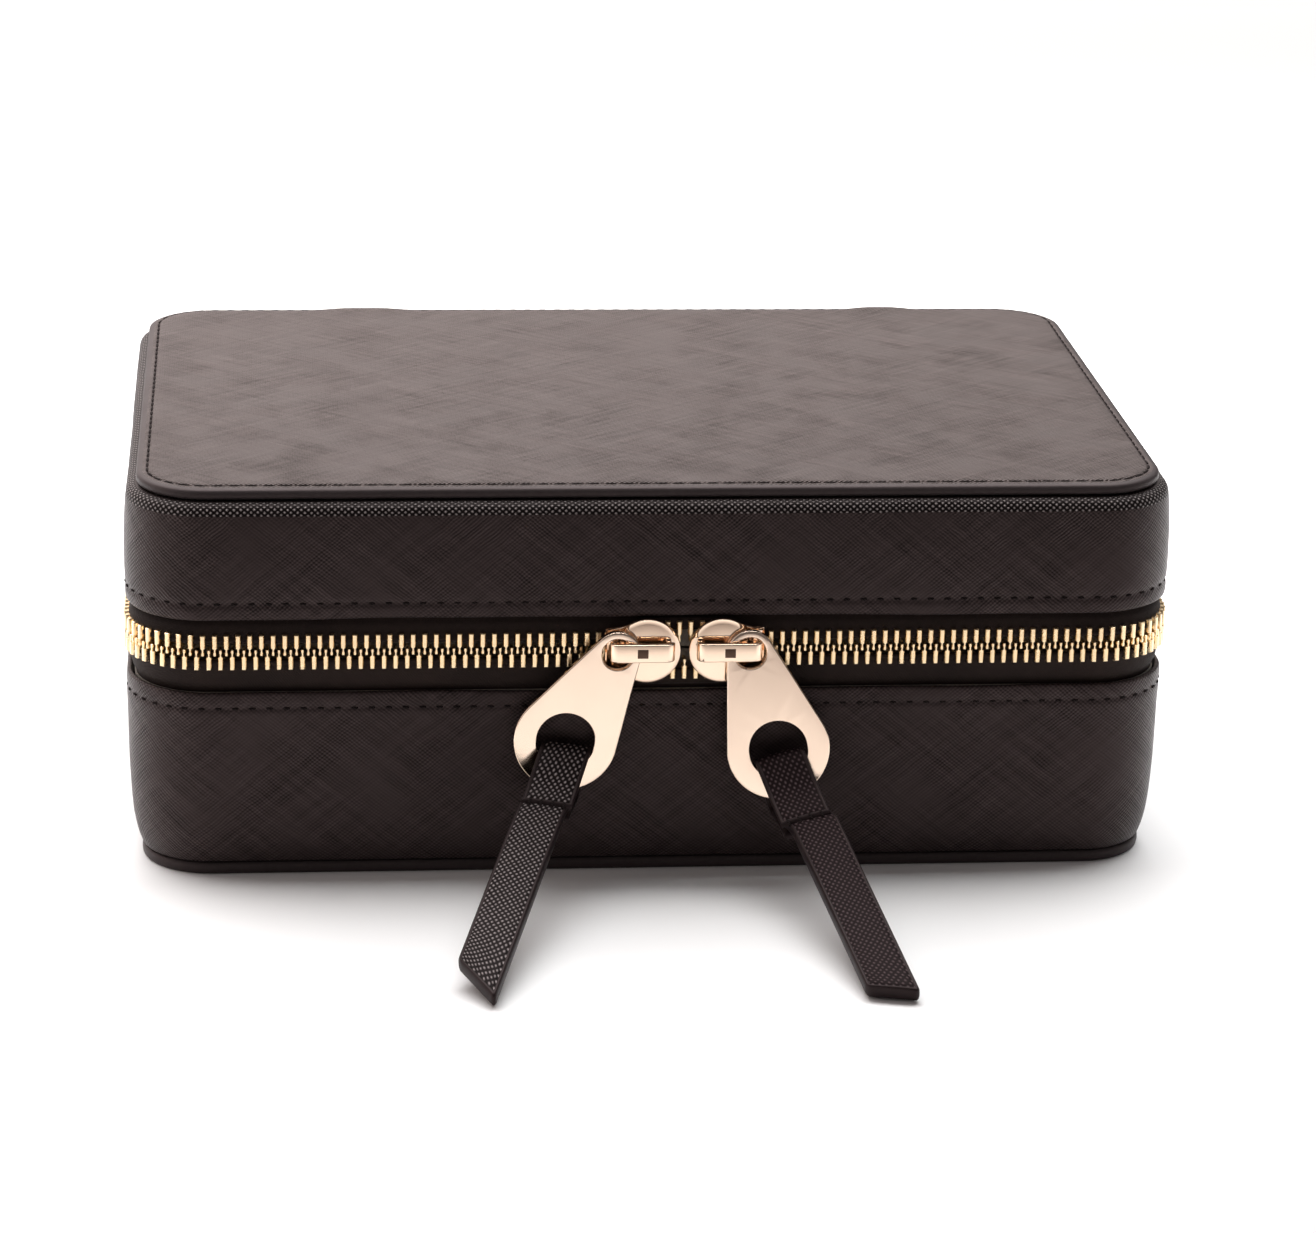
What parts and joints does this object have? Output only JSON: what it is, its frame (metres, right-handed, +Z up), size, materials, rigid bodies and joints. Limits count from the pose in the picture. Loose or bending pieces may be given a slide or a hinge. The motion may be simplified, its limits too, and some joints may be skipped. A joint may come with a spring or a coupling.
{
  "type": "leather jewellery case",
  "caption": "Rounded rectangular leather jewellery case with a hinged padded lid, a metal zip round three sides, teardrop pull plates and leather pull straps.",
  "frame": {"origin": "centre of the flat face the case rests on", "axes": "+X to the case's right, +Y to its hinged back, +Z up; the zip sliders face -Y"},
  "size_m": [0.2262, 0.228, 0.087],
  "materials": {
    "saffiano_leather": "cross-hatched saffiano grain, satin",
    "smooth_leather": "smooth, satin",
    "greyboard": "raw pressed board",
    "suede": "soft brushed microsuede",
    "zip_tape": "woven twill",
    "zip_metal": "polished pale gold",
    "rose_gold": "mirror polished pale rose gold",
    "mirror": "silvered glass"
  },
  "bodies": {
    "base": {"base_bottom_leather": "smooth_leather", "base_bottom_board": "greyboard", "base_wall_leather": "saffiano_leather", "base_frame_board": "greyboard", "base_floor_board": "greyboard", "base_wall_lining": "suede", "base_floor_lining": "suede", "divider_long": "suede", "divider_middle": "suede", "divider_front": "suede", "divider_rear": "suede", "ring_roll_1": "suede", "ring_roll_2": "suede", "ring_roll_3": "suede", "ring_roll_4": "suede", "ring_roll_5": "suede", "ring_roll_6": "suede", "zip_teeth_lower": "zip_metal", "zip_tape_lower": "zip_tape", "spine_leather": "saffiano_leather", "spine_lining": "suede"},
    "lid": {"lid_top_leather": "saffiano_leather", "lid_top_board": "greyboard", "lid_wall_leather": "saffiano_leather", "lid_frame_board": "greyboard", "lid_wall_lining": "suede", "lid_pad": "suede", "mirror": "mirror", "mirror_frame": "saffiano_leather", "zip_teeth_upper": "zip_metal", "zip_tape_upper": "zip_tape"},
    "slider_left": {"slider_body_left": "rose_gold", "slider_bridge_left": "rose_gold"},
    "slider_right": {"slider_body_right": "rose_gold", "slider_bridge_right": "rose_gold"},
    "pull_left": {"pull_plate_left": "rose_gold"},
    "pull_right": {"pull_plate_right": "rose_gold"},
    "strap_left": {"pull_strap_left": "saffiano_leather"},
    "strap_right": {"pull_strap_right": "saffiano_leather"}
  },
  "joints": [
    {"name": "lid_hinge", "type": "hinge", "parent": "base", "child": "lid", "pos_m": [0, 0.0779, 0.0505], "axis": [-1, 0, 0], "range_deg": [0, 100], "deforming": ["spine_leather", "spine_lining", "zip_teeth_upper", "zip_tape_upper", "zip_teeth_lower", "zip_tape_lower"]},
    {"name": "slider_left_slide", "type": "slide", "parent": "base", "child": "slider_left", "axis": [-1, 0, 0], "range_m": [0, 0.082]},
    {"name": "slider_right_slide", "type": "slide", "parent": "base", "child": "slider_right", "axis": [1, 0, 0], "range_m": [0, 0.07]},
    {"name": "pull_left_swing", "type": "hinge", "parent": "slider_left", "child": "pull_left", "pos_m": [-0.0086, -0.08085, 0.0516], "axis": [0, 1, 0], "range_deg": [0, 50]},
    {"name": "pull_right_swing", "type": "hinge", "parent": "slider_right", "child": "pull_right", "pos_m": [0.0197, -0.08085, 0.0516], "axis": [0, -1, 0], "range_deg": [0, 50]},
    {"name": "strap_left_lift", "type": "hinge", "parent": "pull_left", "child": "strap_left", "pos_m": [-0.02239, -0.08628, 0.02285], "axis": [-0.9877, 0, 0.1564], "range_deg": [0, 60], "deforming": ["pull_strap_left"]},
    {"name": "strap_right_lift", "type": "hinge", "parent": "pull_right", "child": "strap_right", "pos_m": [0.02932, -0.08879, 0.0213], "axis": [-0.9613, 0, -0.2756], "range_deg": [0, 60], "deforming": ["pull_strap_right"]}
  ]
}
